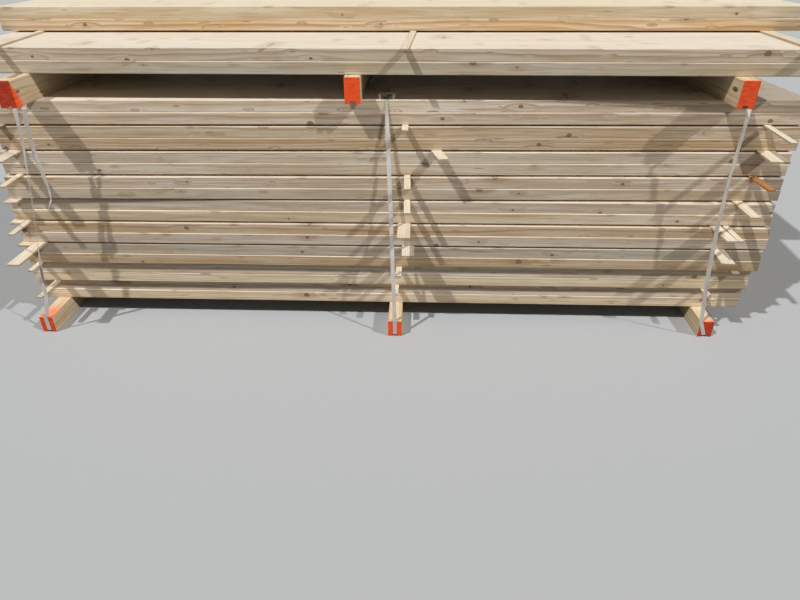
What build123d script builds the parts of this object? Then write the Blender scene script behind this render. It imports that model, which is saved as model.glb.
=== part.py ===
from build123d import *
import math
import os

os.makedirs("parts", exist_ok=True)

# A stack of planed softwood boards. Nine layers lie on three bearers, with laths between
# them, and three straps hold that pack. Two more layers lie above it on bearers of their own.
# Millimetres, +Z up. Boards run along X, and the front of the stack faces -Y.
# The origin is on the floor, under the middle of the stack.

# Boards
BOARD_T = 44.0          # thickness
BOARD_W = 225.0         # width
BOARD_L = 3010.0        # length in the strapped pack
TOP_L = 3200.0          # length in the top layer
EDGE_R = 3.0            # eased long edges
ROW_COUNT = 5           # boards side by side
TOP_ROW_COUNT = 3       # boards side by side in the unfinished top layer
SIDE_GAP = 0.5          # between neighbours in a layer
SEAT = 0.2              # between a piece and what it lies on
JOG = 5.0               # unevenness of the board ends

# Laths between the layers
LATH_T = 6.5
LATH_NARROW = 24.0
LATH_WIDE = 50.0
LONGEST_OVERHANG = 232.0
SHORTEST_OVERHANG = 56.0

# Bearers, with a groove for the strap along the underside. They are longer than the pack is
# deep by the last value.
LOW_W, LOW_H, LOW_EXTRA = 56.0, 73.0, 303.0
HIGH_W, HIGH_H, HIGH_EXTRA = 57.0, 92.0, 193.0
GROOVE_W, GROOVE_H = 21.0, 10.0
BEARER_EDGE = 2.0

# Straps
STRAP_W = 16.0
STRAP_T = 0.9
STRAP_SEAT = 0.3
LAP = 80.0              # length of a strap's welded lap
LAP_BACK = 90.0         # from the pack's front edge back to where a lap starts
LAP_SEAT = 0.1          # between the two layers of a lap
GATHERED_W = 7.0        # width of the middle strap where it is drawn into its buckle

# Wire buckle of the middle strap
WIRE = 3.2
BUCKLE_W, BUCKLE_L = 30.0, 26.0
BUCKLE_R = 5.0          # bend of the wire at its corners

# How far each layer lies from the middle along X, its front edge behind the pack's front
# plane (negative is forward), and its turn in plan in degrees. From the bottom layer up.
LAYER_SHIFT = [-24, -22, -9, -5, -12, -4, 2, 16, 15]
LAYER_BACK = [-3, -19, -31, -28, -16, -8, 6, 13, 18]
LAYER_TURN = [-0.2, -0.1, -0.1, 0.0, 0.1, 0.8, 0.8, 0.9, 0.8]
# The lower course of a layer sits this far in front of the upper one.
COURSE_STEP = [2, 0, 4, 4, 5, 4, 3, 2, 3]

UPPER_SHIFT, UPPER_BACK, UPPER_TURN = -40, -6, -0.6     # full layer above the strapped pack
TOP_SHIFT, TOP_BACK = 16, 380                           # unfinished layer on top of it

LEFT_END, MIDDLE, RIGHT_END = -BOARD_L / 2, 0.0, BOARD_L / 2

# Bearers: place along X, and how far the front end stands out of the pack's front plane
LOW_BEARERS = {"left": (LEFT_END + 65, 163), "middle": (MIDDLE + 25, 156),
               "right": (RIGHT_END - 193, 127)}
HIGH_BEARERS = {"left": (LEFT_END + 183, 124), "middle": (MIDDLE - 122, 47),
                "right": (RIGHT_END - 273, 92)}

# Laths on each layer from the bottom up: place along X at the front plane, overhang at the
# front, width, and skew in degrees (positive swings the front end to the right). Along X
# the outer ones are placed from the ends of the boards.
NARROW, WIDE = LATH_NARROW, LATH_WIDE
LEFT_LATHS = [
    [(71, 155, NARROW, -1.5)],
    [(30, 105, NARROW, 0.0)],
    [(12, 64, WIDE, 0.0), (65, LONGEST_OVERHANG, WIDE, 0.0)],
    [(2, 58, WIDE, 2.0), (43, 162, NARROW, 2.0)],
    [(23, 73, WIDE, 0.0)],
    [(64, 152, NARROW, 3.0)],
    [(76, 152, WIDE, 3.0)],
    [(51, 60, NARROW, 0.0)],
]
MIDDLE_LATHS = [(27, 95, NARROW, -2.0), (41, 113, NARROW, -1.5), (76, 121, WIDE, 1.0),
                (61, 158, WIDE, 0.0), (72, 143, NARROW, 1.0), (72, 145, NARROW, 1.3),
                (185, 93, 38, 13.0), (64, SHORTEST_OVERHANG, NARROW, 0.0)]
RIGHT_LATHS = [
    [(193, 110, NARROW, -1.2)],
    [(102, 59, 30, 0.0)],
    [(187, 157, WIDE, -4.9)],
    [(221, 157, 40, 3.0), (180, 156, 22, 0.0)],
    [(150, 155, 38, -1.0)],
    [(113, 124, 28, 1.5)],
    [(89, 98, 66, -4.0)],
    [(112, 185, NARROW, -3.7)],
]
TOP_LATHS = [(LEFT_END + 122, 110, NARROW, 6.5), (MIDDLE + 67, 64, NARROW, -3.0),
             (RIGHT_END - 57, 100, WIDE, -3.9)]

PACK_DEPTH = ROW_COUNT * BOARD_W + (ROW_COUNT - 1) * SIDE_GAP
FRONT = -PACK_DEPTH / 2
LATH_L = PACK_DEPTH + LONGEST_OVERHANG + SHORTEST_OVERHANG
LOW_L = PACK_DEPTH + LOW_EXTRA
HIGH_L = PACK_DEPTH + HIGH_EXTRA
LAYER_H = 2 * BOARD_T + SEAT
PITCH = LAYER_H + LATH_T + 2 * SEAT


def layer_floor(index):
    """Height of the underside of a layer of the strapped pack, counted from 0."""
    return LOW_H + SEAT + index * PITCH


PACK_TOP = layer_floor(len(LAYER_SHIFT) - 1) + LAYER_H
HIGH_FLOOR = PACK_TOP + SEAT
UPPER_FLOOR = HIGH_FLOOR + HIGH_H + SEAT
UPPER_TOP = UPPER_FLOOR + LAYER_H
TOP_FLOOR = UPPER_TOP + LATH_T + 2 * SEAT


def save(shape, name):
    """Write one node, with the origin under the middle of the long top layer."""
    solids = [Pos(-TOP_SHIFT, 0, 0) * solid for solid in shape.solids()]
    export_step(Compound(children=solids), "parts/" + name + ".step")


def board(length, seen):
    """One planed board with its long edges eased, its underside at Z 0.

    The edges are round on the boards that are seen along their length. The rest, of which
    only the ends show, have the same edges as flats.
    """
    section = Pos(0, BOARD_T / 2) * Rectangle(BOARD_W, BOARD_T)
    corners = section.vertices()
    section = fillet(corners, EDGE_R) if seen else chamfer(corners, EDGE_R * 0.7)
    return Pos(-length / 2, 0, 0) * extrude(Plane.YZ * section, length)


def layer(shift, back, turn, floor, length, across, step, open_top=False):
    """Two courses of boards, turned about the layer's middle.

    The courses step apart a little, as the photo shows.
    """
    boards = []
    depth = across * BOARD_W + (across - 1) * SIDE_GAP
    for course in range(2):
        for row in range(across):
            jog = JOG * (row % 3 - 1) * (1 if course else -1) if row else 0
            y = (row + 0.5) * BOARD_W + row * SIDE_GAP - depth / 2
            y -= 0 if course else step
            seen = row in (0, across - 1) or (open_top and course == 1)
            boards.append(Pos(jog, y, course * (BOARD_T + SEAT)) * board(length, seen))
    return Pos(shift, FRONT + back + depth / 2, floor) * Rot(0, 0, turn) * Compound(children=boards)


def front_of(x, shift, back, turn):
    """Y of a turned layer's front at a place along X."""
    return FRONT + back + (x - shift) * math.tan(math.radians(turn))


def lath(x, overhang, width, skew, floor):
    """One lath across the pack, turned about the point where it leaves the front."""
    stick = Pos(0, LATH_L / 2 - overhang, LATH_T / 2) * Box(width, LATH_L, LATH_T)
    return Pos(x, FRONT, floor) * Rot(0, 0, skew) * stick


def bearer(x, overhang, width, height, length, floor):
    """A sawn bearer with a strap groove along its underside."""
    blank = Pos(0, 0, height / 2) * Box(width, length, height)
    blank = chamfer(blank.edges().filter_by(Axis.Y), BEARER_EDGE)
    blank -= Pos(0, 0, GROOVE_H / 2) * Box(GROOVE_W, length, GROOVE_H)
    return Pos(x, FRONT - overhang + length / 2, floor) * blank


def band(stations, across=Vector(1, 0, 0)):
    """A flat strap through stations (x, y, z, turn, width), mitred at each bend.

    Its width lies along the given direction, unless turn twists it about its own run, in
    degrees. The last two values of a station may be left out.
    """
    points = [Vector(*station[:3]) for station in stations]
    runs = [(b - a).normalized() for a, b in zip(points, points[1:])]
    rings = []
    for i, (here, station) in enumerate(zip(points, stations)):
        before, after = runs[max(i - 1, 0)], runs[min(i, len(runs) - 1)]
        along = (before + after).normalized()
        turn = station[3] if len(station) > 3 else 0
        width = station[4] if len(station) > 4 else STRAP_W
        flat = across
        if turn:
            flat = (across - along * along.dot(across)).normalized()
            flat = flat.rotate(Axis((0, 0, 0), along), turn)
        up = along.cross(flat).normalized()
        mitre = up.dot(after.cross(flat).normalized())
        side, up = flat * (width / 2), up * (STRAP_T / 2 / mitre)
        rings.append([here - side - up, here + side - up, here + side + up, here - side + up])
    outline = [rings[0], rings[-1]]
    for near, far in zip(rings, rings[1:]):
        for i in range(4):
            j = (i + 1) % 4
            # the folds of both broad faces run the same way, so the strap stays as thick
            if i < 2:
                outline += [(near[i], near[j], far[j]), (near[i], far[j], far[i])]
            else:
                outline += [(near[i], near[j], far[i]), (near[j], far[j], far[i])]
    faces = [Face(Wire.make_polygon(corners, close=True)) for corners in outline]
    return Solid(Shell(faces))


HALF = STRAP_T / 2 + STRAP_SEAT         # from a face to the middle of the strap on it
OVER = PACK_TOP + HALF                  # middle of a strap that lies on the pack
UNDER = HIGH_FLOOR - 1.9                # middle of a strap that has left the groove
PACK_EDGE = (LAYER_SHIFT[-1], LAYER_BACK[-1], LAYER_TURN[-1])


def under_bearer(side, drift=0):
    """The strap's way round a lower bearer, from its front end to its back end.

    Drift moves it sideways in the groove, as far as the groove lets it.
    """
    x, out = LOW_BEARERS[side]
    room = (GROOVE_W - STRAP_W) / 2 - STRAP_SEAT
    low_x = x + max(-room, min(room, drift))
    front = FRONT - out - HALF
    back = front + LOW_L + 2 * HALF
    low, high = GROOVE_H - HALF, LOW_H + 2 * HALF
    return [(x + drift, front, high), (low_x, front, low), (low_x, back, low), (x, back, high)]


def side_strap(side, front_run, drift=0, tail=()):
    """A strap through the groove of an upper bearer and round a lower one, with its lap.

    The runs are placed from the upper bearer along X, from its front end, and in height.
    """
    x, out = HIGH_BEARERS[side]
    back = FRONT - out + HIGH_L + 2 * HALF
    edge = front_of(x, *PACK_EDGE)
    lap = edge + LAP_BACK
    run = [(x + dx, FRONT - out - dy, z, turn) for dx, dy, z, turn in front_run]
    loop = [(x, lap, OVER), (x, edge - 1, OVER), (x + 0.5, edge - 16, UNDER)]
    loop += run + under_bearer(side, drift)
    loop += [(x, back, OVER), (x, lap + 20, OVER)]
    upper = OVER + STRAP_T + LAP_SEAT
    over_lap = [(x, lap + 20 + LAP, upper), (x, edge - 2, upper)]
    if tail:
        free = [(x + dx, FRONT - out - dy, z, turn) for dx, dy, z, turn in tail]
        over_lap += [(x + 1, edge - 16, UNDER + 1.1), (x + 6, edge - 40, UNDER + 1.05)] + free
    return Compound(children=[band(loop), band(over_lap)])


def middle_strap():
    """The strap over the top of the pack, with its ends crumpled at the buckle.

    The free ends stand on edge, the first to the right of the buckle and then a long way
    back over the pack, the second to the left of it.
    """
    x_low = LOW_BEARERS["middle"][0]
    x = MIDDLE - 4
    edge = front_of(x, *PACK_EDGE)
    front, back = edge - HALF - 1, edge + PACK_DEPTH + HALF
    loop = [(x, front + 140, OVER), (x, front + 70, OVER, 0, 10), (x, front, OVER, 0, GATHERED_W),
            (x + 1, front - 10, OVER - 65, 0, 13), (x + 3, front - 23, OVER - 120)]
    loop += under_bearer("middle")
    loop += [(x, back, OVER), (x, front + 146, OVER)]
    ends = []
    for floor, path in FREE_ENDS:
        stations = [(x + dx, edge + dy, floor + STRAP_W / 2) for dx, dy in path]
        ends.append(band(stations, across=Vector(0, 0, 1)))
    return Compound(children=[band(loop)] + ends)


def buckle():
    """A buckle of bent wire: a frame with a bar across it, flat on the middle strap."""
    outer = Rectangle(BUCKLE_W, BUCKLE_L)
    outer = chamfer(outer.vertices(), BUCKLE_R)
    hole_l = (BUCKLE_L - 3 * WIRE) / 2
    hole = Rectangle(BUCKLE_W - 2 * WIRE, hole_l)
    hole = chamfer(hole.vertices(), BUCKLE_R / 2)
    step = (hole_l + WIRE) / 2
    flat = outer - Pos(0, step) * hole - Pos(0, -step) * hole
    wire = extrude(flat, WIRE)
    rims = wire.edges().group_by(Axis.Z)
    wire = chamfer(rims[0] + rims[-1], WIRE * 0.28)
    x = MIDDLE - 4
    y = front_of(x, *PACK_EDGE) + BUCKLE_L / 2 + 3
    return Pos(x, y, OVER + HALF) * Rot(0, 0, 9) * wire


# The loose front runs and tails of the side straps: place from the upper bearer along X,
# distance in front of its front end, height and twist, read from the photo.
LEFT_RUN = [(20, 4, UNDER, 0), (15, 13, 800, 30), (-14, 20, 605, 68), (-49, 27, 410, 55),
            (-68, 32, 300, 25), (-86, 37, 166, 0), (-106, 39.75, 88, 0)]
LEFT_TAIL = [(54, 5, UNDER + 1.05, 0), (43, 6, 840, 0), (40, 5, 760, 0), (46, 4, 681, 10),
             (50, 4, 620, 30), (46, 4, 583, 50), (21, 4, 539, 70)]
RIGHT_RUN = [(12.5, 5, UNDER, 0), (13, 7, 893, 75), (13, 8, 840, 80), (10, 11, 696, 80),
             (14, 20, 485, 60), (28, 30, 270, 20), (40, 34, 174, 0), (50, 35.75, 88, 0)]
# The free ends of the middle strap: what they stand on, and their way in plan from where the
# strap turns over the pack's edge
FREE_ENDS = [
    (OVER + HALF, [(21, 14), (29, 19), (32, 30), (25, 42), (8, 47), (-8, 45), (-22, 51), (-27, 70),
                   (-29, 97), (-48, 140), (-70, 195), (-80, 265), (-72, 330), (-56, 386),
                   (-36, 430)]),
    (PACK_TOP + SEAT, [(-22, 9), (-30, 15), (-33, 27), (-29, 38), (-23, 40)]),
]


def main():
    layers = zip(LAYER_SHIFT, LAYER_BACK, LAYER_TURN, COURSE_STEP)
    for index, (shift, back, turn, step) in enumerate(layers):
        boards = layer(shift, back, turn, layer_floor(index), BOARD_L, ROW_COUNT, step)
        save(boards, "layer_%d_boards" % (index + 1))

    for index, (left, middle, right) in enumerate(zip(LEFT_LATHS, MIDDLE_LATHS, RIGHT_LATHS)):
        floor = layer_floor(index) + LAYER_H + SEAT
        sticks = [lath(LEFT_END + x, *rest, floor) for x, *rest in left]
        sticks += [lath(MIDDLE + middle[0], *middle[1:], floor)]
        sticks += [lath(RIGHT_END - x, *rest, floor) for x, *rest in right]
        save(Compound(children=sticks), "laths_on_layer_%d" % (index + 1))

    upper = layer(UPPER_SHIFT, UPPER_BACK, UPPER_TURN, UPPER_FLOOR, BOARD_L, ROW_COUNT, 3, True)
    save(upper, "upper_layer_boards")
    top = layer(TOP_SHIFT, TOP_BACK, 0, TOP_FLOOR, TOP_L, TOP_ROW_COUNT, 2, True)
    save(top, "top_layer_boards")
    sticks = [lath(*one, UPPER_TOP + SEAT) for one in TOP_LATHS]
    save(Compound(children=sticks), "laths_on_upper_layer")

    for side, (x, out) in LOW_BEARERS.items():
        save(bearer(x, out, LOW_W, LOW_H, LOW_L, 0), "lower_bearer_" + side)
    for side, (x, out) in HIGH_BEARERS.items():
        save(bearer(x, out, HIGH_W, HIGH_H, HIGH_L, HIGH_FLOOR), "upper_bearer_" + side)

    save(side_strap("left", LEFT_RUN, 0, LEFT_TAIL), "strap_left")
    save(middle_strap(), "strap_middle")
    save(side_strap("right", RIGHT_RUN, -29), "strap_right")
    save(buckle(), "buckle_middle")


main()
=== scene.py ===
# %% [markdown]
# # A stack of lumber
# A pack of planed softwood boards lies on grooved bearers and is held by three straps. Laths
# part its layers, and two more layers lie above on bearers of their own. The rigid pieces come
# from the CAD model with their real shapes, so most of this lesson is about finishes: planed
# and sawn wood, sprayed paint, woven strap and wire. Everything is in metres.

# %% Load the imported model
import bpy
import math
from mathutils import Matrix, Vector


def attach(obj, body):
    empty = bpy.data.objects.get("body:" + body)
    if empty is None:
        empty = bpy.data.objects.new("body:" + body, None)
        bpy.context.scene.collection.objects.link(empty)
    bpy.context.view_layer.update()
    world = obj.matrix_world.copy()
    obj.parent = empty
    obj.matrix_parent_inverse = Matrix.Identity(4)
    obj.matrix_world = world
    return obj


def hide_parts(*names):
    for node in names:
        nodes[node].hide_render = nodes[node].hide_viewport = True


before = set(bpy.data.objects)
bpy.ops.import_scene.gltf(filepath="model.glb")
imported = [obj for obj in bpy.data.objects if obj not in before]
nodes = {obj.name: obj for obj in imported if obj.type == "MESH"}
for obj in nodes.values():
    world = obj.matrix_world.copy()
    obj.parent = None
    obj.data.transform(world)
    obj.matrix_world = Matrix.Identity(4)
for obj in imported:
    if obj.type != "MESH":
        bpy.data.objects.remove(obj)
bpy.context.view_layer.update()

# %% [markdown]
# ## The camera
# The view is from in front of the stack, a little right of its middle, looking down at it. The
# place, tilt and focal length below were solved from the corners of the layers and bearers.
# A camera looks along its own -Z, so it is tipped up from straight down by 90 degrees less
# the downward pitch, and then turned about the vertical. An empty to look at would be easier
# to move by hand, but it can't hold the small roll.

# %% Camera
FRAME_PX, FOCAL_PX = 800, 602.5     # width of the picture and focal length, both in pixels
SENSOR_MM = 36.0
CAMERA_AT = Vector((0.1022, -2.7984, 1.4395))
YAW, DOWN, ROLL = (math.radians(a) for a in (-1.958, 31.27, -0.253))

bpy.ops.object.camera_add(location=CAMERA_AT)
camera = bpy.context.object
camera.name = "photo_camera"
turn = Matrix.Rotation(-YAW, 4, "Z") @ Matrix.Rotation(math.pi / 2 - DOWN, 4, "X")
camera.rotation_euler = (turn @ Matrix.Rotation(ROLL, 4, "Z")).to_euler()
camera.data.sensor_width = SENSOR_MM
camera.data.lens = FOCAL_PX * SENSOR_MM / FRAME_PX
camera.data.clip_end = 60           # past the far edge of the floor
bpy.context.scene.camera = camera
print("camera lens", round(camera.data.lens, 2), "mm")

# %% [markdown]
# ## Colours and nodes
# Colours are written as sRGB hex values, as a colour picker shows them, and a shader needs
# them linear. Every pattern below is a small graph of nodes. One function adds a node, sets
# it up and joins it to others, so that a graph is written from its start to its end like a
# recipe. Drawing graphs by hand in the shader editor gives the same result, but it can't be
# repeated for eleven layers of boards.

# %% Helpers for materials
MIX = {"data_type": "RGBA"}                     # a Mix node of colours: inputs 0, 6 and 7
SOFT = {"interpolation_type": "SMOOTHSTEP"}     # a Map Range node with soft limits


def rgb(code):
    """An sRGB hex value as a linear colour with alpha 1."""
    parts = [int(code[i:i + 2], 16) / 255 for i in (1, 3, 5)]
    return [p / 12.92 if p <= 0.04045 else ((p + 0.055) / 1.055) ** 2.4 for p in parts] + [1]


def add(tree, kind, inputs=(), **settings):
    """Adds one shader node. Its inputs are given in order or by name or number.

    An input is a value, a hex colour, a socket, or a node, which stands for its output.
    """
    node = tree.nodes.new("ShaderNode" + kind)
    for name, value in settings.items():
        setattr(node, name, value)
    for name, value in inputs.items() if isinstance(inputs, dict) else enumerate(inputs):
        if isinstance(value, bpy.types.Node):
            value = next(out for out in value.outputs if out.enabled)
        if isinstance(value, bpy.types.NodeSocket):
            tree.links.new(value, node.inputs[name])
        else:
            node.inputs[name].default_value = rgb(value) if isinstance(value, str) else value
    return node


def new_material(name, roughness):
    """An empty node material with its shader, and the object coordinates."""
    material = bpy.data.materials.new(name)
    material.use_nodes = True
    tree = material.node_tree
    tree.nodes.clear()
    shader = add(tree, "BsdfPrincipled", {"Roughness": roughness})
    add(tree, "OutputMaterial", [shader])
    return material, tree, shader, add(tree, "TexCoord").outputs["Object"]


def finish_with(node_name, material):
    """Gives a CAD node one material."""
    slots = nodes[node_name].data.materials
    slots.clear()
    slots.append(material)


print("linear mid grey:", [round(v, 3) for v in rgb("#808080")])

# %% [markdown]
# ## Planed spruce
# Planed spruce is pale, with fine straight grain, small tight knots and a soft sheen. Wood has
# its pattern all through, so it is drawn in space and not on the faces, and the faces then cut
# it as a saw does: lines along the edges, arcs on the ends. Another way is one grain picture
# for each face, but its lines would not meet at the edges.
#
# All boards of a layer are one object, and no two boards are from the same log. So the first
# step finds the board that a point lies in, from its row and course, and draws three numbers
# for it. A material for each board would do the same with a hundred materials. The layers are
# turned a little in plan, so the place is turned back first.

# %% Which board a point is in
BOARD_T, BOARD_W = 0.044, 0.225     # thickness and width
SIDE_GAP, SEAT = 0.0005, 0.0002     # between two boards side by side, and under each
ROW, COURSE = BOARD_W + SIDE_GAP, BOARD_T + SEAT
LOG_LENGTH = 40                     # two boards are cut at places up to this far apart


def find_board(tree, where, layer, seed):
    """Three random numbers of the board that a point is in, and its place in that board."""
    back = Matrix.Rotation(-layer["turn"], 3, "Z") @ Vector(layer["centre"])
    place = add(tree, "Mapping", {"Vector": where, "Location": -back,
                                  "Rotation": (0, 0, -layer["turn"])})
    x, y, z = add(tree, "SeparateXYZ", [place]).outputs
    course = add(tree, "Math", [z, 1 / COURSE, SEAT / 2 / COURSE], operation="MULTIPLY_ADD")
    course = add(tree, "Math", [course], operation="FLOOR")
    y = add(tree, "Math", [course, -layer["step"], y], operation="MULTIPLY_ADD")
    spot = add(tree, "CombineXYZ", [x, y, z])
    corner = (0, layer["step"] + layer["depth"] / 2 + SIDE_GAP / 2, SEAT / 2)
    spot = add(tree, "VectorMath", [spot, corner], operation="ADD")
    cell = add(tree, "VectorMath", [spot, (0, 1 / ROW, 1 / COURSE)], operation="MULTIPLY")
    cell = add(tree, "VectorMath", [cell], operation="FLOOR")
    key = add(tree, "VectorMath", [cell, (seed, 0, 0)], operation="ADD")
    number = add(tree, "TexWhiteNoise", {"Vector": key}).outputs["Color"]
    inside = add(tree, "VectorMath", [cell, (0, -ROW, -COURSE), spot], operation="MULTIPLY_ADD")
    inside = add(tree, "VectorMath", [number, (LOG_LENGTH, 0, 0), inside],
                 operation="MULTIPLY_ADD")
    return number, inside


print("a board and its gap:", round(ROW * 1000, 2), "x", round(COURSE * 1000, 2), "mm")

# %% [markdown]
# ## Knots
# A knot is the base of a branch: a brown peg with rings of its own and a dark rim, set across
# the grain. Scattered points are the middles of the pegs, each stretched towards the bark, and
# the distance to the nearest one, less its size, tells the core, the rim and the rings. Most
# knots are small and dark, and a few are larger and paler. Knots painted by hand would look as
# good on one board, but not on a hundred.

# %% Knots
KNOT_CELL = (0.17, 0.12, 0.050)     # one knot in each box of this size
KNOT_SHAPE = (0.75, 0.15, 1.0)      # a knot is long across the board, towards the bark
KNOT_SMALLEST, KNOT_MORE = 0.0042, 0.0085       # radius, and what the largest have more
KNOT_UNEVEN = 0.005                 # how far at most noise draws a knot's outline in
KNOT_BUMPS = 90                     # bumps of that outline in a metre, 11 mm each
KNOT_RING = 0.0034                  # a knot's rings of under 1 mm, drawn coarser to show
HALO_SHAPE = (0.4, 1.0, 1.0)        # grain is bent further along the board than across it


def draw_knots(tree, inside):
    """Where the knots are: their core, rim, rings, bent grain, how large, and a number."""
    scaled = add(tree, "VectorMath", [inside, [1 / c for c in KNOT_CELL]], operation="MULTIPLY")
    knot = add(tree, "TexVoronoi", {"Vector": scaled, "Scale": 1.0})
    gap = add(tree, "VectorMath", [scaled, knot.outputs["Position"]], operation="SUBTRACT")
    shape = [c * s for c, s in zip(KNOT_CELL, KNOT_SHAPE)]
    gap = add(tree, "VectorMath", [gap, shape], operation="MULTIPLY")
    luck = add(tree, "SeparateColor", [knot.outputs["Color"]]).outputs
    size = add(tree, "Math", [luck[0], 5.0], operation="POWER")
    size = add(tree, "Math", [size, KNOT_MORE, KNOT_SMALLEST], operation="MULTIPLY_ADD")

    # distance to the outline, less than 0 inside the knot
    wobble = add(tree, "TexNoise", {"Vector": inside, "Scale": KNOT_BUMPS, "Detail": 1.0})
    off = add(tree, "VectorMath", [gap], operation="LENGTH")
    off = add(tree, "Math", [wobble, KNOT_UNEVEN, off], operation="MULTIPLY_ADD")
    off = add(tree, "Math", [off, size], operation="SUBTRACT")
    ring = add(tree, "Math", [off, 2 * math.pi / KNOT_RING], operation="MULTIPLY")
    ring = add(tree, "Math", [ring], operation="SINE")
    reach = add(tree, "VectorMath", [gap, HALO_SHAPE], operation="MULTIPLY")
    reach = add(tree, "VectorMath", [reach], operation="LENGTH")
    reach = add(tree, "Math", [reach, size], operation="DIVIDE")
    return {"core": add(tree, "MapRange", [off, 0.0008, -0.0014, 0.0, 1.0], **SOFT),
            "rim": add(tree, "MapRange", [off, -0.0026, -0.0004, 0.0, 1.0], **SOFT),
            "ring": add(tree, "MapRange", [ring, -1.0, 1.0, 0.0, 0.6]),
            "halo": add(tree, "MapRange", [reach, 2.3, 0.7, 0.0, 1.0], **SOFT),
            "large": add(tree, "MapRange", [size, 0.006, 0.010, 0.0, 1.0], **SOFT),
            "luck": luck[2]}


largest = KNOT_SMALLEST + KNOT_MORE
print("knots: radius", [round(r * 1000, 1) for r in (KNOT_SMALLEST, largest)],
      "mm, less what the noise takes")

# %% [markdown]
# ## Growth rings
# Each year's ring ends in a thin line of dark late wood. The pith of the log lies somewhere
# beside the board, and the distance from it gives the ring at a point. The pith wanders along
# the board, as a tree is never quite straight, and so the lines on the edges swing slowly. A
# wave texture makes evenly spaced rings in one node, but real years differ in width and tone.

# %% Growth rings
RING = 0.008                        # real rings of 2 mm don't show, so they are drawn wider
PITH_REACH = (0, 0.16, 0.20)        # how far apart the piths of two boards can lie
PITH_WANDER = (0, 0.03, 0.04)       # how far it wanders along one board
PITH_BENDS = (1, 5, 5)              # bends in a metre: 1 m long and 200 mm across
KNOT_BEND = -0.007                  # the rings are pushed outwards round a knot


def draw_rings(tree, number, inside, halo):
    """The dark late wood of the growth rings, from 0 to about 1."""
    pith = add(tree, "VectorMath", [number, PITH_REACH, inside], operation="MULTIPLY_ADD")
    bend = add(tree, "Mapping", {"Vector": inside, "Scale": PITH_BENDS})
    bend = add(tree, "TexNoise", {"Vector": bend, "Scale": 1.0, "Detail": 3.0})
    pith = add(tree, "VectorMath", [bend.outputs["Color"], PITH_WANDER, pith],
               operation="MULTIPLY_ADD")
    # on average the pith lies in the middle of the board
    middle = [-(size + reach + wander) / 2 for size, reach, wander in
              zip((0, BOARD_W, BOARD_T), PITH_REACH, PITH_WANDER)]
    pith = add(tree, "VectorMath", [pith, (0, 1, 1), middle], operation="MULTIPLY_ADD")
    ring = add(tree, "VectorMath", [pith], operation="LENGTH")
    ring = add(tree, "Math", [halo, KNOT_BEND, ring], operation="MULTIPLY_ADD")
    count = add(tree, "Math", [ring, RING], operation="DIVIDE")

    # dark slowly, pale again at once, and some years darker than others
    part = add(tree, "Math", [count], operation="FRACT")
    early = add(tree, "MapRange", [part, 1.0, 0.85, 0.0, 1.0], **SOFT)
    late = add(tree, "MapRange", [part, 0.2, 0.85, 0.0, 1.0], **SOFT)
    late = add(tree, "Math", [late, early], operation="MULTIPLY")
    year = add(tree, "Math", [count], operation="FLOOR")
    year = add(tree, "TexWhiteNoise", {"W": year}, noise_dimensions="1D")
    year = add(tree, "MapRange", [year, 0.0, 1.0, 0.1, 1.1])
    return add(tree, "Math", [late, year], operation="MULTIPLY")


print("growth rings: one each", RING * 1000, "mm")

# %% [markdown]
# ## Colours of the boards
# Over the rings come fibres, broad pale and warm bands and short dark streaks of resin, all
# stretched along the board. Each is a noise with a different scale along and across the
# grain, because wood is the same for centimetres along it and changes within a millimetre
# across it. Then the colours are laid one over the other, and each board gets a shade of its
# own. Broad faces are paler than the edges, partly from the pale early wood they show and
# partly as a painted highlight, and the sawn ends are darker. A ramp from one noise is
# quicker, but it gives every board the same few tones.

# %% Fibres, bands and streaks
# how many there are in a metre: along the board, across it, and up its edge
FIBRES = (5, 240, 260)              # under 1 mm wide, drawn 4 mm wide to show
BANDS = (1.6, 25, 40)               # 25 to 40 mm wide and 600 mm long
STREAKS = (9, 45, 170)              # 6 mm high, 22 mm across and 110 mm long


def draw_fibres(tree, inside):
    """Noises along the grain: fine fibres, broad bands, and streaks of resin."""
    fibre = add(tree, "Mapping", {"Vector": inside, "Scale": FIBRES})
    fibre = add(tree, "TexNoise", {"Vector": fibre, "Scale": 1.0, "Roughness": 0.65})
    band = add(tree, "Mapping", {"Vector": inside, "Scale": BANDS})
    band = add(tree, "TexNoise", {"Vector": band, "Scale": 1.0})
    band = add(tree, "MapRange", [band, 0.35, 0.68, 0.0, 1.0], **SOFT)
    # streaks are rare, so only the peaks of their noise show
    streak = add(tree, "Mapping", {"Vector": inside, "Scale": STREAKS})
    streak = add(tree, "TexNoise", {"Vector": streak, "Scale": 1.0, "Detail": 1.0})
    streak = add(tree, "MapRange", [streak, 0.715, 0.765, 0.0, 0.85], **SOFT)
    return fibre, band, streak


print("fibres:", round(1000 / FIBRES[1], 1), "mm across, as drawn")

# %% Clear wood and knots
SHADE = (0.88, 1.04)                # darkest and palest board of a layer
RICH = (0.75, 1.2)                  # least and most saturated board
HUE = (0.502, 0.489)                # from a little yellow to a little red


def clear_wood(tree, wood, tone_and_light, chance, late, fibre, band):
    """The colour of wood without knots, with a shade for each board."""
    colour = add(tree, "Mix", {0: band, 6: wood["pale"], 7: wood["warm"]}, **MIX)
    amount = add(tree, "Math", [late, 0.62], operation="MULTIPLY")
    colour = add(tree, "Mix", {0: amount, 6: colour, 7: wood["late"]}, **MIX)
    amount = add(tree, "MapRange", [fibre, 0.46, 0.76, 0.0, 0.6], **SOFT)
    colour = add(tree, "Mix", {0: amount, 6: colour, 7: wood["late"]}, **MIX)
    hue = add(tree, "MapRange", [chance[0], 0.0, 1.0, *HUE])
    value = add(tree, "MapRange", [chance[1], 0.0, 1.0, *(shade * tone_and_light for shade in SHADE)])
    saturation = add(tree, "MapRange", [chance[2], 0.0, 1.0, *RICH])
    return add(tree, "HueSaturation", {"Color": colour, "Hue": hue, "Value": value,
                                       "Saturation": saturation})


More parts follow.
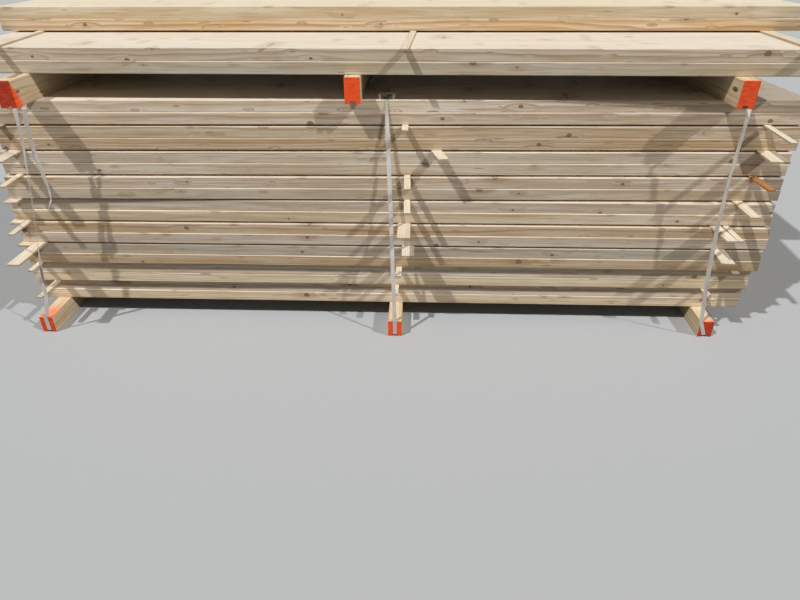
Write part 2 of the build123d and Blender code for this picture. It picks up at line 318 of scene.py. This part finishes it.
def lay_knots(tree, colour, knots, streak, mark):
    """Lays the bent grain, the knots and the resin over a colour, mark times as strong."""
    amount = add(tree, "Math", [knots["halo"], knots["luck"]], operation="MULTIPLY")
    amount = add(tree, "Math", [amount, mark], operation="MULTIPLY")
    amount = add(tree, "Math", [amount, 0.6], operation="MULTIPLY")
    colour = add(tree, "Mix", {0: amount, 6: colour, 7: "#98744F"}, **MIX)
    knot = add(tree, "Mix", {0: knots["large"], 6: "#3E2C1D", 7: "#957250"}, **MIX)
    amount = add(tree, "Math", [knots["ring"], knots["large"]], operation="MULTIPLY")
    knot = add(tree, "Mix", {0: amount, 6: knot, 7: "#61432B"}, **MIX)
    knot = add(tree, "Mix", {0: knots["rim"], 6: knot, 7: "#4E3824"}, **MIX)
    amount = add(tree, "Math", [knots["core"], mark], operation="MULTIPLY")
    amount = add(tree, "Math", [amount, 0.9], operation="MULTIPLY")
    colour = add(tree, "Mix", {0: amount, 6: colour, 7: knot}, **MIX)
    amount = add(tree, "Math", [streak, mark], operation="MULTIPLY")
    return add(tree, "Mix", {0: amount, 6: colour, 7: "#4A3120"}, **MIX)


print("boards of a layer differ in value by", round(SHADE[1] / SHADE[0] - 1, 2))

# %% Material of a layer


def board_material(name, layer, wood, tone_and_light, seed):
    """Planed spruce for one layer, tone times as pale as its kind of wood; tone is partly
    painted light.
    """
    material, tree, shader, where = new_material(name, 0.55)
    number, inside = find_board(tree, where, layer, seed)
    chance = add(tree, "SeparateColor", [number]).outputs
    knots = draw_knots(tree, inside)
    late = draw_rings(tree, number, inside, knots["halo"])
    fibre, band, streak = draw_fibres(tree, inside)
    colour = clear_wood(tree, wood, tone_and_light, chance, late, fibre, band)

    # the broad faces are paler than the edges, partly from their pale early wood and partly as
    # a painted highlight, and their knots fainter
    aim = add(tree, "NewGeometry").outputs["Normal"]
    aim = add(tree, "VectorMath", [aim], operation="ABSOLUTE")
    aim = add(tree, "SeparateXYZ", [aim]).outputs
    face_grain_and_highlight = add(tree, "MapRange", [aim[2], 0.6, 0.9, 0.0, 0.55])
    colour = add(tree, "Mix", {0: face_grain_and_highlight, 6: colour, 7: wood["face"]}, **MIX)
    mark = add(tree, "MapRange", [aim[2], 0.6, 0.9, 1.0, 0.45])
    colour = lay_knots(tree, colour, knots, streak, mark)

    # the sawn ends are darker and show their rings
    on_end = add(tree, "MapRange", [aim[0], 0.75, 0.9, 0.0, 0.8])
    end_colour = add(tree, "Mix", {0: late, 6: "#CBAE86", 7: "#8C6841"}, **MIX)
    colour = add(tree, "Mix", {0: on_end, 6: colour, 7: end_colour}, **MIX)
    tree.links.new(colour.outputs[2], shader.inputs["Base Color"])

    relief = add(tree, "Math", [late, 0.6, fibre], operation="MULTIPLY_ADD")
    bump = add(tree, "Bump", {"Height": relief, "Strength": 0.25, "Distance": 0.0004})
    tree.links.new(bump.outputs[0], shader.inputs["Normal"])
    shine = add(tree, "MapRange", [fibre, 0.0, 1.0, 0.45, 0.7])
    tree.links.new(shine.outputs[0], shader.inputs["Roughness"])
    return material


WOOD = {"pale": "#EADAC0", "warm": "#D8C09A", "late": "#A27C52", "face": "#ECE1CE"}
PALE_WOOD = {"pale": "#EFE3CE", "warm": "#E1CFB0", "late": "#AB8963", "face": "#ECE3D4"}
YELLOW_WOOD = {"pale": "#EDDDBF", "warm": "#DFC598", "late": "#B28850", "face": "#EDE2CC"}
print("kinds of planed spruce: 3")

# %% [markdown]
# ## The layers
# The pattern has to know where each layer lies, how far it is turned and how its courses step
# apart, to find its boards. These are the layers' places in millimetres and degrees, from the
# bottom one up. They could be measured on the meshes, but a turn of a tenth of a degree is
# more certain from the drawing. Some layers are fresher or a little greyer than others, and
# the lowest two are painted paler against the shade that the layers above throw on them.

# %% Where each layer lies
SHIFT = -0.016                      # the origin is under the middle of the top layer
PACK_FRONT = -0.5635                # the front of a layer that isn't set back
PACK_FLOOR, UPPER_FLOOR, TOP_FLOOR = 0.0732, 1.0146, 1.1097     # heights of the undersides
LAYER_PITCH = 0.0951                # from one layer of the pack to the next
LAYER_SHIFT = [-24, -22, -9, -5, -12, -4, 2, 16, 15]
LAYER_BACK = [-3, -19, -31, -28, -16, -8, 6, 13, 18]
LAYER_TURN = [-0.2, -0.1, -0.1, 0.0, 0.1, 0.8, 0.8, 0.9, 0.8]
COURSE_STEP = [2, 0, 4, 4, 5, 4, 3, 2, 3]
# the lowest two layers are paler, in tone and kind of wood, as painted light against the shade
# that the layers above throw on them
LAYER_TONE_AND_LIGHT = [1.1, 1.1, 0.84, 0.95, 1.0, 0.97, 1.0, 0.96, 1.1]
LAYER_WOOD = [PALE_WOOD, PALE_WOOD] + [WOOD] * 6 + [PALE_WOOD]

# name, then shift, set-back, turn and course step, then floor, boards across, wood and tone,
# the last two partly painted light
layers = []
for i, places in enumerate(zip(LAYER_SHIFT, LAYER_BACK, LAYER_TURN, COURSE_STEP)):
    layers.append(("layer_%d_boards" % (i + 1), *places, PACK_FLOOR + i * LAYER_PITCH, 5,
                   LAYER_WOOD[i], LAYER_TONE_AND_LIGHT[i]))
layers.append(("upper_layer_boards", -40, -6, -0.6, 3, UPPER_FLOOR, 5, PALE_WOOD, 0.94))
layers.append(("top_layer_boards", 16, 380, 0.0, 2, TOP_FLOOR, 3, YELLOW_WOOD, 1.0))

for i, (name, shift, back, turned, step, floor_z, across, wood, tone_and_light) in enumerate(layers):
    depth = across * BOARD_W + (across - 1) * SIDE_GAP
    centre = (SHIFT + shift / 1000, PACK_FRONT + back / 1000 + depth / 2, floor_z)
    layer = {"centre": centre, "turn": math.radians(turned), "depth": depth,
             "step": step / 1000}
    seed = 3.7 * i + 1              # any spacing will do, as long as no two layers share one
    finish_with(name, board_material("planed_spruce_" + name, layer, wood, tone_and_light, seed))
print("planed boards:", len(layers), "layers")

# %% [markdown]
# ## Sawn laths
# The laths are sawn and not planed, so their faces are fuzzy. Their sides are darker, partly
# from grain cut from the face of a board and partly as painted shade. They run along Y, so
# the pattern is stretched that way.
# Each lath takes its tone from where it lies along X, in steps wide enough to hold one lath,
# and one is brown heartwood. One material with a switch is simpler than a second material on
# part of a node.

# %% Laths
LATH_STEP = 0.55                    # along X, with one lath in each step
LATH_GRAIN = (260, 5, 260)          # lines in a metre: 4 mm across and 200 mm along
LATH_BLOTCHES = 14                  # blotches in a metre, 70 mm each
BEYOND = 9.0                        # further along X than any lath
BROWN_LATH = {6: 1.0}               # the layer it lies on, and a place along X before it


def lath_material(name, seed, brown_from):
    """Sawn softwood along Y. Laths further along X than brown_from are brown."""
    material, tree, shader, where = new_material(name, 0.75)
    x = add(tree, "SeparateXYZ", [where]).outputs[0]
    spot = add(tree, "Math", [x, LATH_STEP], operation="DIVIDE")
    spot = add(tree, "Math", [spot], operation="ROUND")
    spot = add(tree, "CombineXYZ", [spot, seed, 0.0])
    chance = add(tree, "TexWhiteNoise", {"Vector": spot}).outputs["Color"]
    chance = add(tree, "SeparateColor", [chance]).outputs
    lines = add(tree, "Mapping", {"Vector": where, "Scale": LATH_GRAIN})
    lines = add(tree, "TexNoise", {"Vector": lines, "Scale": 1.0, "Detail": 3.0})
    line = add(tree, "MapRange", [lines, 0.35, 0.75, 0.0, 1.0], **SOFT)
    blotch = add(tree, "TexNoise", {"Vector": where, "Scale": LATH_BLOTCHES})
    blotch = add(tree, "MapRange", [blotch, 0.45, 0.75, 0.0, 0.6], **SOFT)
    colour = add(tree, "Mix", {0: line, 6: "#E6DDCB", 7: "#CFBA98"}, **MIX)
    colour = add(tree, "Mix", {0: blotch, 6: colour, 7: "#D1BD9B"}, **MIX)
    up = add(tree, "SeparateXYZ", [add(tree, "NewGeometry").outputs["Normal"]]).outputs[2]
    # the sides are darker than the top: partly their sawn grain, partly painted shade
    side = add(tree, "MapRange", [up, 0.6, 0.2, 0.0, 0.65])
    colour = add(tree, "Mix", {0: side, 6: colour, 7: "#B8976C"}, **MIX)
    value = add(tree, "MapRange", [chance[0], 0.0, 1.0, 0.88, 1.04])
    saturation = add(tree, "MapRange", [chance[1], 0.0, 1.0, 0.8, 1.2])
    colour = add(tree, "HueSaturation", {"Color": colour, "Value": value,
                                         "Saturation": saturation})
    brown = add(tree, "Mix", {0: line, 6: "#B8834A", 7: "#8A5A2C"}, **MIX)
    is_brown = add(tree, "Math", [x, brown_from], operation="GREATER_THAN")
    colour = add(tree, "Mix", {0: is_brown, 6: colour, 7: brown}, **MIX)
    tree.links.new(colour.outputs[2], shader.inputs["Base Color"])
    bump = add(tree, "Bump", {"Height": lines, "Strength": 0.5, "Distance": 0.0006})
    tree.links.new(bump.outputs[0], shader.inputs["Normal"])
    return material


for i in range(8):
    material = lath_material("sawn_lath_%d" % (i + 1), i, BROWN_LATH.get(i + 1, BEYOND))
    finish_with("laths_on_layer_%d" % (i + 1), material)
finish_with("laths_on_upper_layer", lath_material("sawn_lath_upper", 9, BEYOND))
print("laths: 9 nodes")

# %% [markdown]
# ## Bearers with sprayed ends
# A bearer is sawn softwood whose front end was sprayed with fluorescent orange marking paint.
# The end itself is covered, and its grain shows through as ridges. On the sides the paint
# thins out within a few centimetres, so it is a matter of the distance from the end, made
# uneven by noise and gritty where it is thin. Fluorescent paint turns unseen light into
# orange, so it looks brighter than a plain paint could. A weak glow stands for that.
#
# The paint could also be a second material with its own faces, but its edge would be a line.
# Ends that lie in shade have that shade painted on, as a darker red.

# %% Sawn wood of a bearer
BEARER_GRAIN = (120, 3, 120)        # lines in a metre: 8 mm across and 330 mm along
BEARER_KNOTS = (14, 6, 14)          # knots in a metre: one in 70 mm across and 170 mm along


def sawn_wood(tree, where, seed):
    """The colour of sawn softwood along Y with a few knots, and its grain lines."""
    lines = add(tree, "Mapping", {"Vector": where, "Location": (seed, 0, 0),
                                  "Scale": BEARER_GRAIN})
    lines = add(tree, "TexNoise", {"Vector": lines, "Scale": 1.0, "Detail": 3.0,
                                   "Roughness": 0.6})
    line = add(tree, "MapRange", [lines, 0.35, 0.75, 0.0, 1.0], **SOFT)
    wood = add(tree, "Mix", {0: line, 6: "#E2D0AE", 7: "#C4A273"}, **MIX)
    knot = add(tree, "Mapping", {"Vector": where, "Location": (seed, seed, 0),
                                 "Scale": BEARER_KNOTS})
    knot = add(tree, "TexVoronoi", {"Vector": knot, "Scale": 1.0})
    knot = add(tree, "MapRange", [knot, 0.15, 0.10, 0.0, 1.0], **SOFT)
    return add(tree, "Mix", {0: knot, 6: wood, 7: "#7A5533"}, **MIX), lines


print("sawn wood: grain lines", round(1000 / BEARER_GRAIN[0], 1), "mm across")

# %% Sprayed paint
MIST = 0.6                          # how thick the paint is at most on the top
CLOUD = 0.03                        # how far at most noise draws the paint's limit in
AT_FOOT, AT_TOP = 1.6, 0.3          # the paint reaches further at the foot of a side
CLOUDS, GRIT = 25, 700              # in a metre: clouds of 40 mm, grains of 1.4 mm


def spray(tree, where, on_end, on_top, bearer):
    """How thick the paint lies, from the end at Y front to its reach on top and sides."""
    y, z = add(tree, "SeparateXYZ", [where]).outputs[1:]
    cloud = add(tree, "TexNoise", {"Vector": where, "Scale": CLOUDS, "Detail": 3.0})
    far = add(tree, "Math", [y, bearer["front"]], operation="SUBTRACT")
    far = add(tree, "Math", [cloud, CLOUD, far], operation="MULTIPLY_ADD")
    side = add(tree, "MapRange", [z, bearer["low"], bearer["high"],
                                  *(bearer["side_reach"] * part for part in (AT_FOOT, AT_TOP))])
    limit = add(tree, "Mix", {0: on_top, 2: side, 3: bearer["top_reach"] + CLOUD / 2})
    far = add(tree, "Math", [far, limit], operation="DIVIDE")
    paint = add(tree, "MapRange", [far, 1.0, 0.35, 0.0, 1.0], **SOFT)
    grit = add(tree, "TexNoise", {"Vector": where, "Scale": GRIT})
    grit = add(tree, "Math", [grit, paint], operation="ADD")
    grit = add(tree, "MapRange", [grit, 0.45, 0.8, 0.0, 1.0], **SOFT)
    paint = add(tree, "Math", [paint, grit], operation="MULTIPLY")
    thin = add(tree, "MapRange", [on_top, 0.0, 1.0, 1.0, MIST])
    paint = add(tree, "Math", [paint, thin], operation="MULTIPLY")
    return add(tree, "Math", [on_end, paint], operation="MAXIMUM")


print("the paint's limit is uneven by", CLOUD * 1000, "mm")

# %% Material of a bearer
GLOW = 0.12                         # painted glow: emission strength where the paint is thick, less where shade is painted on the end
RIDGES = (40, 0, 190)               # in a metre: 25 mm wide and 5 mm high


def bearer_material(name, bearer):
    """Sawn softwood along Y with its front end sprayed.

    Its end's paint is fully lit at a value of 1, and below 1 painted shade turns it darker red.
    """
    seed = bearer["seed"]
    material, tree, shader, where = new_material(name, 0.7)
    wood, lines = sawn_wood(tree, where, seed)
    aim = add(tree, "SeparateXYZ", [add(tree, "NewGeometry").outputs["Normal"]]).outputs
    on_end = add(tree, "MapRange", [aim[1], -0.5, -0.8, 0.0, 1.0])
    on_top = add(tree, "MapRange", [aim[2], 0.3, 0.8, 0.0, 1.0])
    paint = spray(tree, where, on_end, on_top, bearer)

    # the saw has left the softer early wood of the end lower, as curved ridges
    ridge = add(tree, "Mapping", {"Vector": where, "Location": (seed, 0, 0.4),
                                  "Scale": RIDGES})
    ridge = add(tree, "TexNoise", {"Vector": ridge, "Scale": 1.0, "Distortion": 0.5})
    ridge_line = add(tree, "MapRange", [ridge, 0.35, 0.65, 0.0, 1.0], **SOFT)
    orange = add(tree, "Mix", {0: ridge_line, 6: "#FF6224", 7: "#F0480E"}, **MIX)
    # painted shade: the end's paint turns from bright orange to dark red by how lit it is
    shaded_orange = add(tree, "Mix", {0: ridge_line, 6: "#C4391F", 7: "#8E2418"}, **MIX)
    lit_share = add(tree, "MapRange", [on_end, 0.0, 1.0, 1.0, bearer["end_light"]])
    orange = add(tree, "Mix", {0: lit_share, 6: shaded_orange, 7: orange}, **MIX)
    colour = add(tree, "Mix", {0: paint, 6: wood, 7: orange}, **MIX)
    tree.links.new(colour.outputs[2], shader.inputs["Base Color"])
    glow = add(tree, "Math", [paint, lit_share], operation="MULTIPLY")
    glow = add(tree, "Math", [glow, GLOW], operation="MULTIPLY")
    tree.links.new(glow.outputs[0], shader.inputs["Emission Strength"])
    shader.inputs["Emission Color"].default_value = rgb("#FF5A24")
    relief = add(tree, "Math", [lines, ridge], operation="ADD")
    bump = add(tree, "Bump", {"Height": relief, "Strength": 0.5, "Distance": 0.001})
    tree.links.new(bump.outputs[0], shader.inputs["Normal"])
    return material


print("end grain: ridges", round(1000 / RIDGES[2], 1), "mm high")

# %% Bearers
LOWER_HEIGHTS, UPPER_HEIGHTS = (0.0, 0.073), (0.922, 1.014)     # underside and top
# the overhang in millimetres, how far the paint reaches on top and sides, how lit its painted
# end is (below 1 is painted shade), and a number that picks the grain and knots
BEARERS = {"lower_bearer_left": (163, 0.13, 0.012, 0.6, 2.9),
           "lower_bearer_middle": (156, 0.0, 0.004, 1.0, 5.3),
           "lower_bearer_right": (127, 0.03, 0.012, 0.25, 10.6),
           "upper_bearer_left": (124, 0.01, 0.055, 0.15, 15.9),
           "upper_bearer_middle": (47, 0.004, 0.004, 1.0, 21.2),
           "upper_bearer_right": (92, 0.03, 0.018, 0.75, 26.5)}
for name, (overhang, top_reach, side_reach, end_light, seed) in BEARERS.items():
    low, high = LOWER_HEIGHTS if name.startswith("lower") else UPPER_HEIGHTS
    bearer = {"front": PACK_FRONT - overhang / 1000, "low": low, "high": high,
              "top_reach": top_reach, "side_reach": side_reach, "end_light": end_light, "seed": seed}
    finish_with(name, bearer_material("sprayed_" + name, bearer))
print("bearers:", len(BEARERS))

# %% [markdown]
# ## Strap
# The straps are woven from white polyester cord, five cords side by side, so the weave is ribs
# along the strap. Its width lies along X wherever it is not twisted, so ribs that follow X run
# along it, over the top as down the front. A picture wrapped on the mesh would need its faces
# unrolled first.

# %% Strap
CORD = 0.0032                       # one of the strap's five cords
WORN_PATCHES = 9                    # dust and wear: patches in a metre, 110 mm each
material, tree, shader, where = new_material("woven_polyester_strap", 0.5)
x = add(tree, "SeparateXYZ", [where]).outputs[0]
rib = add(tree, "Math", [x, 2 * math.pi / CORD], operation="MULTIPLY")
rib = add(tree, "Math", [rib], operation="SINE")
patch = add(tree, "TexNoise", {"Vector": where, "Scale": WORN_PATCHES, "Detail": 3.0})
patch = add(tree, "MapRange", [patch, 0.35, 0.7, 0.0, 1.0], **SOFT)
colour = add(tree, "Mix", {0: patch, 6: "#E6E1DA", 7: "#CDC7BF"}, **MIX)
# painted shade in the grooves between the cords
groove_shade = add(tree, "MapRange", [rib, -0.4, -1.0, 0.0, 0.35], **SOFT)
colour = add(tree, "Mix", {0: groove_shade, 6: colour, 7: "#9A948C"}, **MIX)
tree.links.new(colour.outputs[2], shader.inputs["Base Color"])
bump = add(tree, "Bump", {"Height": rib, "Strength": 0.4, "Distance": 0.0003})
tree.links.new(bump.outputs[0], shader.inputs["Normal"])
shader.inputs["Sheen Weight"].default_value = 0.15
for side in ("left", "middle", "right"):
    finish_with("strap_" + side, material)
print("straps: 3")

# %% [markdown]
# ## Wire buckle
# The buckle is one steel wire bent to a frame with a bar across, and phosphated, which makes
# it a dull greenish grey. The pull of the strap has bent it, so that two more loops stand up
# from the frame. The CAD node shows where it lies. A wire is a circle swept along its way, and
# by hand that is a circle extruded along each straight run and spun round each bend. A curve
# with a round bevel would do as well, but here every step can be seen in the mesh.

# %% Frame of the buckle
WIRE, BEND = 0.0032, 0.005          # diameter of the wire and radius of its bends
BUCKLE_W, BUCKLE_L = 0.030, 0.026   # outside sizes of the frame
WIRE_SIDES, BEND_STEPS = 12, 5
half_w, half_l = BUCKLE_W / 2 - WIRE / 2, BUCKLE_L / 2 - WIRE / 2

bpy.ops.object.select_all(action="DESELECT")
bpy.ops.mesh.primitive_circle_add(vertices=WIRE_SIDES, radius=WIRE / 2,
                                  rotation=(math.pi / 2, 0, 0),
                                  location=(half_w, -half_l + BEND, 0))
buckle = bpy.context.object
buckle.name = "wire_buckle"
bpy.ops.object.transform_apply(location=True, rotation=True, scale=True)
bpy.ops.object.mode_set(mode="EDIT")
bpy.ops.mesh.select_all(action="SELECT")
runs = [(0, 2 * (half_l - BEND)), (-2 * (half_w - BEND), 0), (0, -2 * (half_l - BEND)),
        (2 * (half_w - BEND), 0)]
bends = [(half_w - BEND, half_l - BEND), (BEND - half_w, half_l - BEND),
         (BEND - half_w, BEND - half_l), (half_w - BEND, BEND - half_l)]
for (run_x, run_y), (at_x, at_y) in zip(runs, bends):
    bpy.ops.mesh.extrude_region_move(TRANSFORM_OT_translate={"value": (run_x, run_y, 0)})
    bpy.ops.mesh.spin(steps=BEND_STEPS, angle=math.pi / 2, center=(at_x, at_y, 0),
                      axis=(0, 0, -1))
bpy.ops.mesh.select_all(action="SELECT")
bpy.ops.mesh.remove_doubles(threshold=0.00005)
bpy.ops.mesh.normals_make_consistent(inside=False)
bpy.ops.object.mode_set(mode="OBJECT")
print("buckle frame:", len(buckle.data.polygons), "faces",
      [round(v, 4) for v in buckle.dimensions])

# %% Bent loops and bar of the buckle
# each loop's size beside the frame's, its tilt about X and Y and its turn, and its place
BENT_LOOPS = [((0.80, 0.75, 1.2), (24, -13, -31), (0.004, 0.004, 0.0045)),
              ((0.66, 0.90, 1.2), (-17, 15, 42), (-0.005, -0.001, 0.0058))]
BAR_LIFT = 0.0006                   # the bar's middle lies this much above the frame's
bpy.ops.mesh.primitive_cylinder_add(vertices=WIRE_SIDES, radius=WIRE / 2, depth=2 * half_w,
                                    rotation=(0, math.pi / 2, 0), location=(0, 0, BAR_LIFT))
wires = [bpy.context.object]
for size, tilt, place in BENT_LOOPS:
    bpy.ops.object.select_all(action="DESELECT")
    buckle.select_set(True)
    bpy.context.view_layer.objects.active = buckle
    bpy.ops.object.duplicate()
    loop = bpy.context.object
    loop.scale = size
    loop.rotation_euler = [math.radians(a) for a in tilt]
    loop.location = place
    wires.append(loop)
for wire in wires + [buckle]:
    wire.select_set(True)
bpy.context.view_layer.objects.active = buckle
bpy.ops.object.join()
bpy.ops.object.shade_smooth_by_angle(angle=math.radians(40))
print("wires joined:", 1 + len(wires))

# %% Place and finish of the buckle
BUCKLE_TURN = math.radians(9)
corners = [corner.co for corner in nodes["buckle_middle"].data.vertices]
lowest = Vector([min(c[i] for c in corners) for i in range(3)])
highest = Vector([max(c[i] for c in corners) for i in range(3)])
buckle.rotation_euler = (0, 0, BUCKLE_TURN)
buckle.location = (lowest + highest) / 2
bpy.ops.object.transform_apply(location=True, rotation=True, scale=True)
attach(buckle, "root")
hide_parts("buckle_middle")

COATING_BLOTCHES = 300              # in a metre, 3 mm each
material, tree, shader, where = new_material("phosphated_steel_wire", 0.6)
dull = add(tree, "TexNoise", {"Vector": where, "Scale": COATING_BLOTCHES})
dull = add(tree, "MapRange", [dull, 0.40, 0.60, 0.0, 1.0], **SOFT)
dull = add(tree, "Mix", {0: dull, 6: "#75744F", 7: "#2A2B20"}, **MIX)
tree.links.new(dull.outputs[2], shader.inputs["Base Color"])
shader.inputs["Metallic"].default_value = 0.2
buckle.data.materials.append(material)
print("buckle:", [round(v, 4) for v in buckle.dimensions])

# %% [markdown]
# ## Floor and light
# The floor is plain and pale for the camera and a little darker for the light that it throws
# back, or the boards' edges would be lit from below. There are two small suns, one on each
# side and a little in front. They graze the front, so that the top edge of each course catches
# the light, and a lath that stands out throws a shadow to each side. The world adds a weak
# even light. Area lamps close by would light one end more than the other.

# %% Floor
FLOOR_SIZE = 40


def as_seen(tree):
    """1 for what is seen, straight, in a reflection or through glass, and 0 for its light."""
    ray = add(tree, "LightPath").outputs
    seen = add(tree, "Math", [ray["Is Camera Ray"], ray["Is Glossy Ray"]], operation="MAXIMUM")
    return add(tree, "Math", [seen, ray["Is Transmission Ray"]], operation="MAXIMUM")


bpy.ops.object.select_all(action="DESELECT")
bpy.ops.mesh.primitive_plane_add(size=FLOOR_SIZE, location=(0, 0, 0))
floor = bpy.context.object
floor.name = "floor"
material, tree, shader, where = new_material("plain_pale_floor", 0.8)
colour = add(tree, "Mix", {0: as_seen(tree), 6: "#5E5F60", 7: "#B2B4B5"}, **MIX)
tree.links.new(colour.outputs[2], shader.inputs["Base Color"])
floor.data.materials.append(material)
print("floor:", floor.name, FLOOR_SIZE, "m wide")

# %% Light
SUN_SIZE = math.radians(1.0)        # the wider, the softer its shadows
WORLD_LIGHT, WORLD_SEEN = 0.11, 0.8     # strength as a light, and as the camera sees it
# the way each sun's light goes, across, back and down, and its strength
SUNS = {"sun_left": ((0.54, 0.40, -1.0), 2.25), "sun_right": ((-0.97, 0.46, -1.0), 1.75)}
for name, (way, strength) in SUNS.items():
    bpy.ops.object.light_add(type="SUN", location=(0, 0, 4))
    sun = bpy.context.object
    sun.name = name
    sun.data.energy = strength
    sun.data.angle = SUN_SIZE
    sun.rotation_euler = Vector(way).to_track_quat("-Z", "Y").to_euler()

world = bpy.data.worlds.new("studio")
bpy.context.scene.world = world
world.use_nodes = True
tree = world.node_tree
background = tree.nodes["Background"]
background.inputs["Color"].default_value = rgb("#F3F1EE")
strength = add(tree, "MapRange", [as_seen(tree), 0.0, 1.0, WORLD_LIGHT, WORLD_SEEN])
tree.links.new(strength.outputs[0], background.inputs["Strength"])

bpy.context.scene.view_settings.view_transform = "Standard"
print("lights:", len(SUNS), "suns and the world")
